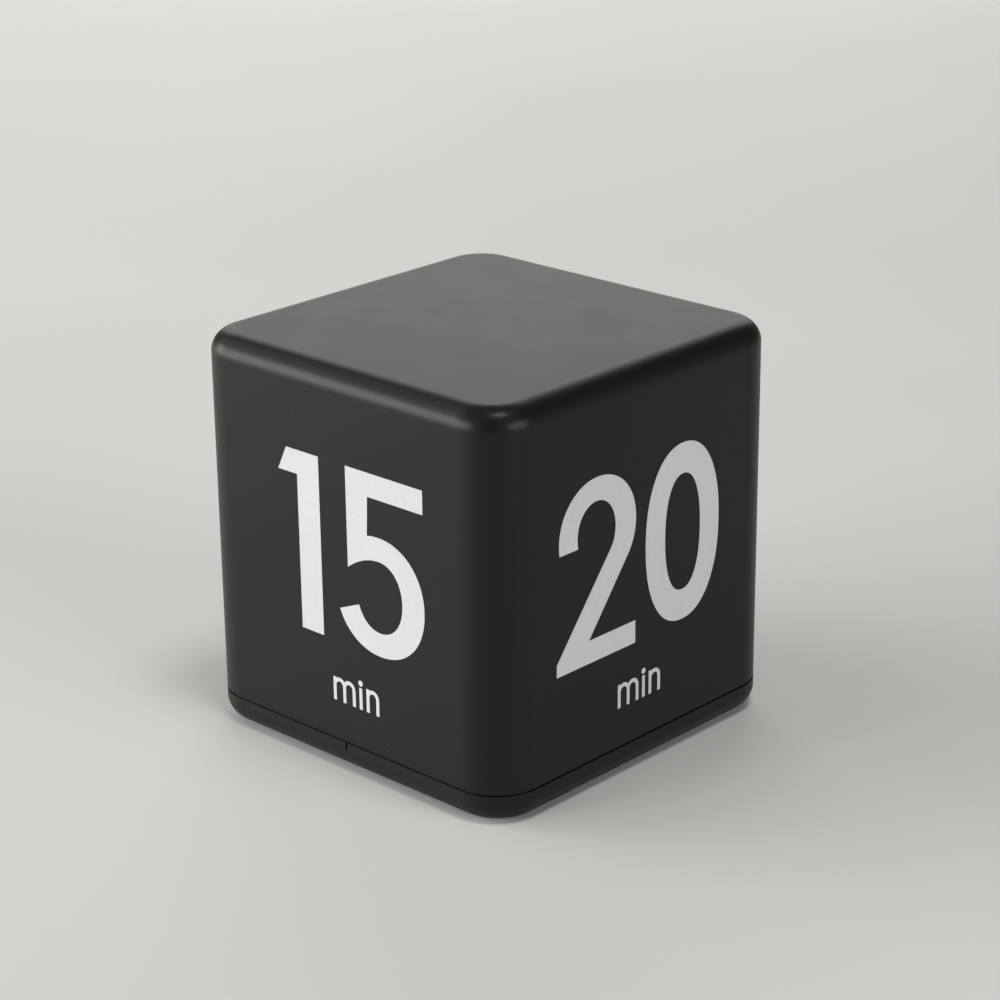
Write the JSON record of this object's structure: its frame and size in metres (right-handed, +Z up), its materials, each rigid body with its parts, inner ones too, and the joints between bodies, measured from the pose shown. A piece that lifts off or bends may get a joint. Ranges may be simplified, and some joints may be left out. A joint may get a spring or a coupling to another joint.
{
  "type": "flip kitchen timer",
  "caption": "Black rounded cube timer with a printed time on each side: laid on a side, it counts down the time facing up. Display, switch and battery door sit in its base.",
  "frame": {"origin": "middle of the flat underside, on the surface that the timer stands on", "axes": "+Z up, -Y out of the number face at the left of the picture, +X out of the number face at its right"},
  "size_m": [0.065, 0.065, 0.065],
  "materials": {
    "case_black": "satin moulded, fine texture",
    "screw_steel": "zinc plated",
    "cell_sleeve": "plain gloss sleeve",
    "contact_nickel": "nickel plated",
    "lens_clear": "clear polished",
    "lcd_glass": "display glass with polariser",
    "lcd_film": "silver-grey film",
    "frame_white": "moulded",
    "contact_rubber": "layered conductive rubber",
    "board_green": "solder mask",
    "chip_resin": "cured resin",
    "capacitor_sleeve": "shrink sleeve",
    "can_steel": "drawn can",
    "plug_brown": "moulded",
    "ball_brass": "bright",
    "knob_grey": "moulded",
    "actuator_black": "moulded",
    "piezo_white": "silvered ceramic",
    "lead_red": "insulation",
    "lead_black": "insulation",
    "lead_grey": "insulation",
    "lead_blue": "insulation"
  },
  "bodies": {
    "case": {"shell": "case_black", "base_cover": "case_black", "case_screws": "screw_steel", "board_screws": "screw_steel", "switch_board_screws": "screw_steel", "battery_cell_right": "cell_sleeve", "battery_cell_left": "cell_sleeve", "positive_contact": "contact_nickel", "negative_contact": "contact_nickel", "bridge_contact": "contact_nickel", "negative_spring": "contact_nickel", "bridge_spring": "contact_nickel", "tilt_pins": "contact_nickel", "switch_body": "contact_nickel", "crystal": "contact_nickel", "display_lens": "lens_clear", "lcd_front_glass": "lcd_glass", "lcd_rear_glass": "lcd_glass", "lcd_reflector": "lcd_film", "lcd_frame": "frame_white", "zebra_strip_near": "contact_rubber", "zebra_strip_far": "contact_rubber", "main_board": "board_green", "switch_board": "board_green", "chip_blob": "chip_resin", "resistors": "chip_resin", "capacitor": "capacitor_sleeve", "tilt_can_right": "can_steel", "tilt_can_back": "can_steel", "tilt_can_left": "can_steel", "tilt_can_front": "can_steel", "tilt_plug_right": "plug_brown", "tilt_plug_back": "plug_brown", "tilt_plug_left": "plug_brown", "tilt_plug_front": "plug_brown", "piezo_plate": "ball_brass", "piezo_ceramic": "piezo_white", "battery_lead_red": "lead_red", "battery_lead_black": "lead_black", "buzzer_leads": "lead_grey", "switch_leads": "lead_blue"},
    "door": {"battery_door": "case_black", "door_latch": "case_black"},
    "switch_slider": {"switch_knob": "knob_grey", "switch_actuator": "actuator_black"},
    "ball_right": {"tilt_ball_right": "ball_brass"},
    "ball_back": {"tilt_ball_back": "ball_brass"},
    "ball_left": {"tilt_ball_left": "ball_brass"},
    "ball_front": {"tilt_ball_front": "ball_brass"}
  },
  "joints": [
    {"name": "battery_door_hinge", "type": "hinge", "parent": "case", "child": "door", "pos_m": [0, 0.011, 0.00095], "axis": [1, 0, 0], "range_deg": [0, 60], "deforming": ["door_latch"]},
    {"name": "on_off_slide", "type": "slide", "parent": "case", "child": "switch_slider", "axis": [1, 0, 0], "range_m": [0, 0.003]},
    {"name": "tilt_ball_right_roll", "type": "slide", "parent": "case", "child": "ball_right", "axis": [1, 0, 0], "range_m": [0, 0.0021]},
    {"name": "tilt_ball_back_roll", "type": "slide", "parent": "case", "child": "ball_back", "axis": [0, 1, 0], "range_m": [0, 0.0021]},
    {"name": "tilt_ball_left_roll", "type": "slide", "parent": "case", "child": "ball_left", "axis": [-1, 0, 0], "range_m": [0, 0.0021]},
    {"name": "tilt_ball_front_roll", "type": "slide", "parent": "case", "child": "ball_front", "axis": [0, -1, 0], "range_m": [0, 0.0021]}
  ]
}
